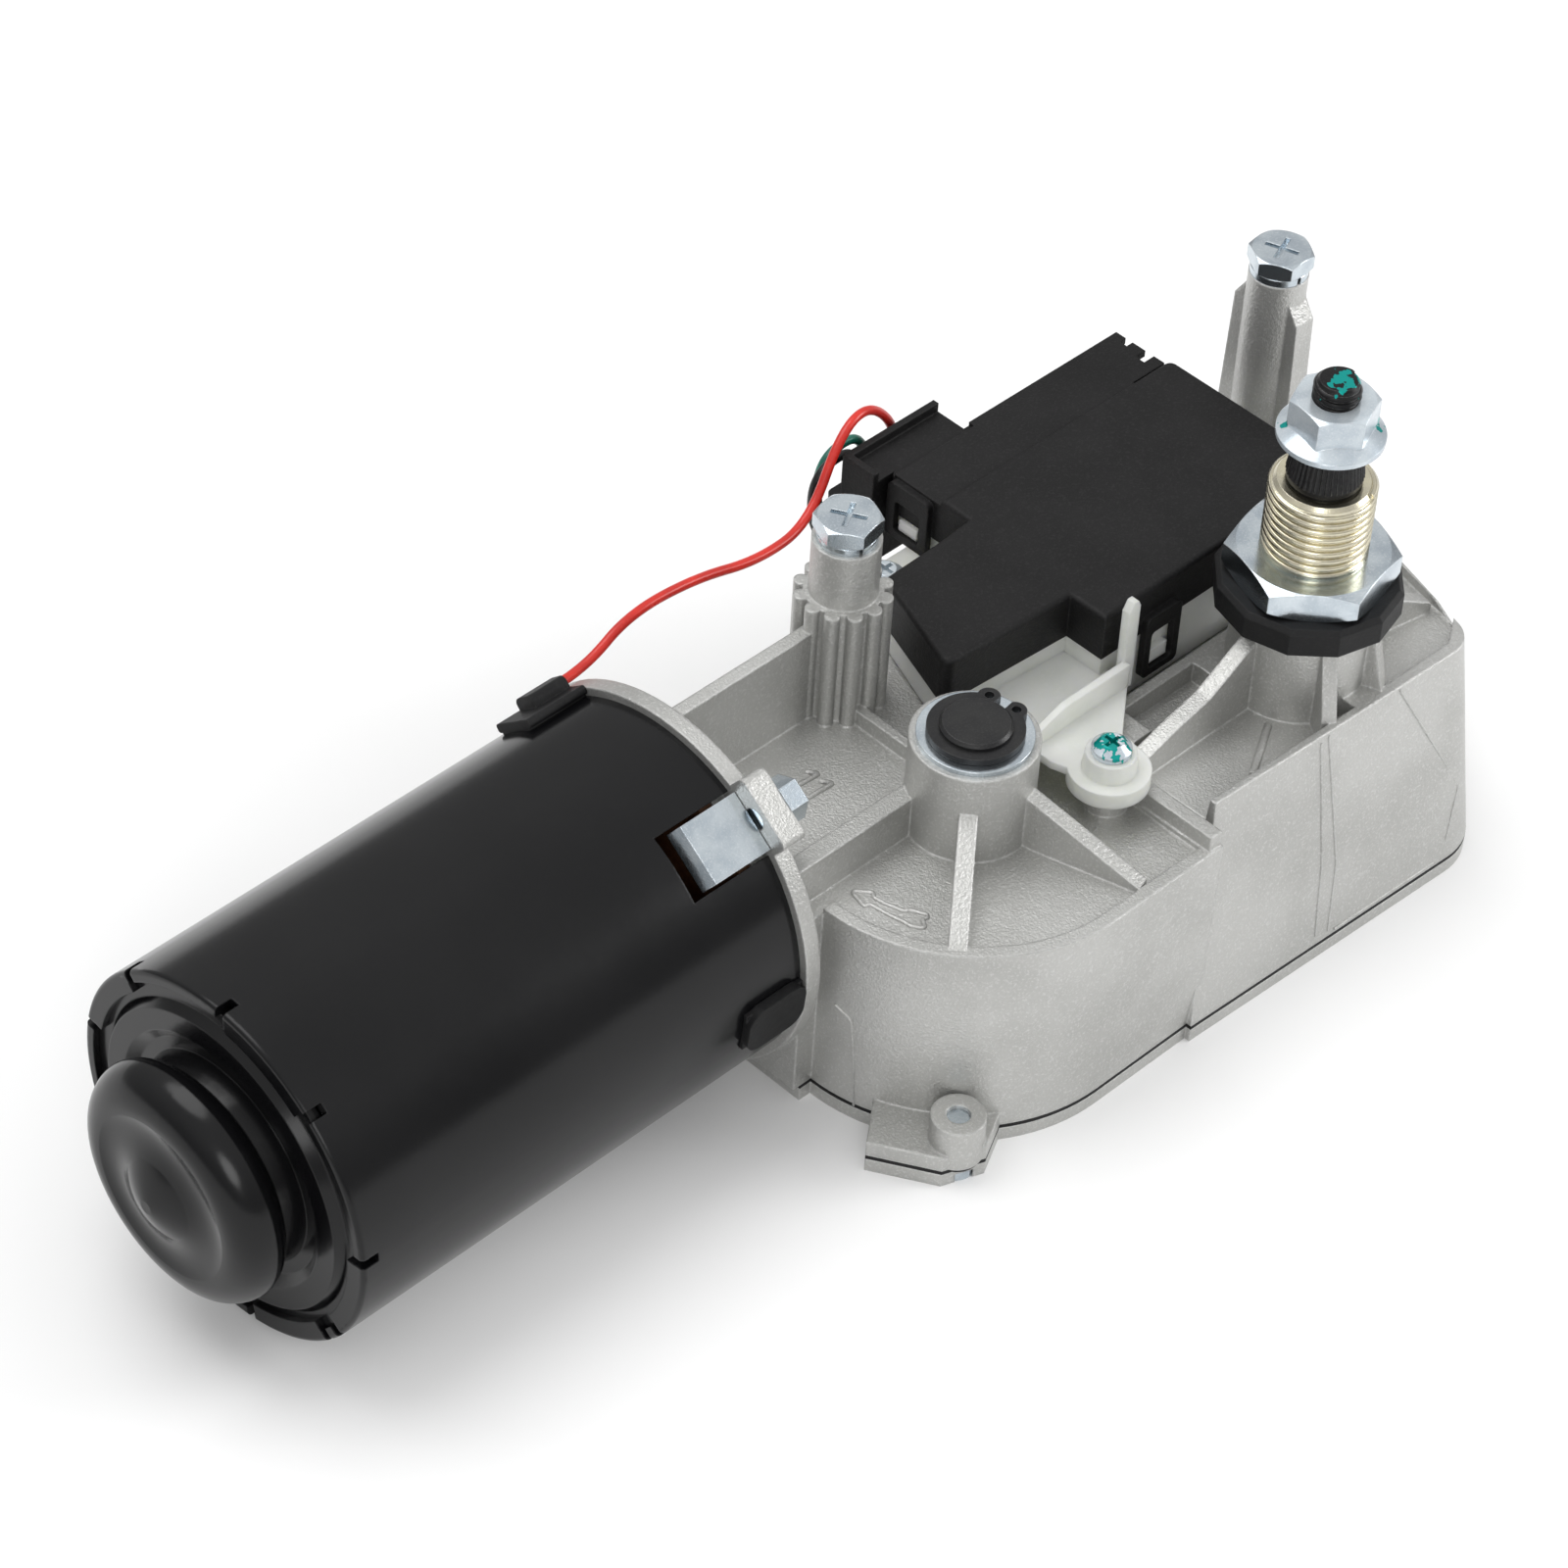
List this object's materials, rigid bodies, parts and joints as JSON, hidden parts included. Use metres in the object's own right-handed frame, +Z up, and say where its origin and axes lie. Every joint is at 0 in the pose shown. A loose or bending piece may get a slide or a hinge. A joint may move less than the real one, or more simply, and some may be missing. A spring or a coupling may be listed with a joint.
{
  "type": "rear wiper motor",
  "caption": "Oscillating wiper motor: tubular motor, worm gear case with crank linkage, threaded output shaft, switch box and two screw posts.",
  "frame": {"origin": "on the output shaft's axis, at the top face of the gear case's output boss", "axes": "+X along the motor's shaft from the can towards the output end, +Y to the back, where the wires run, +Z up along the output shaft"},
  "size_m": [0.2604, 0.1051, 0.1059],
  "materials": {
    "cast_aluminium": "die-cast, satin",
    "black_enamel": "gloss",
    "bright_zinc": "blue-white zinc",
    "yellow_zinc": "pale yellow zinc",
    "black_steel": "black oxide",
    "bright_steel": "machined",
    "lamination_steel": "oiled",
    "copper": "enamelled copper",
    "ferrite": "matt",
    "bronze": "sintered bronze",
    "brass": "satin",
    "carbon": "matt carbon",
    "phenolic": "laminate",
    "board_green": "lacquered",
    "black_rubber": "matt",
    "black_plastic": "fine grained",
    "clear_nylon": "translucent natural",
    "white_acetal": "natural",
    "red_sleeve": "satin",
    "black_sleeve": "satin",
    "green_sleeve": "satin"
  },
  "bodies": {
    "housing": {"gear_housing": "cast_aluminium", "bottom_cover": "cast_aluminium", "cover_gasket": "black_rubber", "cover_screws": "bright_zinc", "motor_can": "black_enamel", "rear_end_plate": "black_enamel", "rear_bearing": "bronze", "front_bearing": "bronze", "end_play_screw": "bright_steel", "can_clips": "bright_zinc", "clip_bolts": "bright_zinc", "wire_grommets": "black_rubber", "side_plug": "black_rubber", "magnets": "ferrite", "brush_plate": "phenolic", "brush_holders": "brass", "brushes": "carbon", "brush_springs": "bright_steel", "wheel_bushing": "bronze", "thrust_washer": "bright_zinc", "output_sleeve": "yellow_zinc", "rubber_washer": "black_rubber", "sleeve_nut": "bright_zinc", "stub_bushing": "bronze", "switch_base": "clear_nylon", "switch_cover": "black_plastic", "circuit_board": "board_green", "relay": "black_plastic", "connector_pins": "brass", "base_screws": "bright_zinc", "wire_seal": "black_rubber", "spring_washers": "bright_zinc", "post_screws": "bright_zinc", "wire_red": "red_sleeve", "wire_black": "black_sleeve", "wire_green": "green_sleeve"},
    "armature": {"armature_shaft": "bright_steel", "lamination_stack": "lamination_steel", "windings": "copper", "commutator": "copper"},
    "worm_wheel": {"worm_wheel": "white_acetal", "wheel_shaft": "black_steel", "retaining_ring": "black_steel"},
    "output": {"output_shaft": "black_steel", "output_pinion": "bright_steel", "shaft_nut": "bright_zinc"},
    "guide_arm": {"guide_arm": "bright_steel"},
    "sector_arm": {"sector_arm": "bright_steel", "crank_pin": "bright_steel", "sector_pin": "bright_steel"}
  },
  "joints": [
    {"name": "armature_spin", "type": "hinge", "parent": "housing", "child": "armature", "pos_m": [-0.157, 0.0435, -0.028], "axis": [1, 0, 0], "continuous": true},
    {"name": "wheel_spin", "type": "hinge", "parent": "housing", "child": "worm_wheel", "pos_m": [-0.0645, 0.0135, -0.028], "axis": [0, 0, 1], "continuous": true},
    {"name": "output_swing", "type": "hinge", "parent": "housing", "child": "output", "pos_m": [0, 0, 0], "axis": [0, 0, 1], "range_deg": [-114, 0]},
    {"name": "guide_swing", "type": "hinge", "parent": "housing", "child": "guide_arm", "pos_m": [0, 0, -0.0417], "axis": [0, 0, 1], "range_deg": [-52, 0]},
    {"name": "sector_roll", "type": "hinge", "parent": "guide_arm", "child": "sector_arm", "pos_m": [-0.02032, 0.02207, -0.037], "axis": [0, 0, 1], "range_deg": [0, 52]}
  ],
  "couplings": [
    {"joint": "wheel_spin", "follows": "armature_spin", "ratio": 0.02},
    {"joint": "guide_swing", "follows": "output_swing", "ratio": 0.45},
    {"joint": "sector_roll", "follows": "output_swing", "ratio": -0.45}
  ]
}
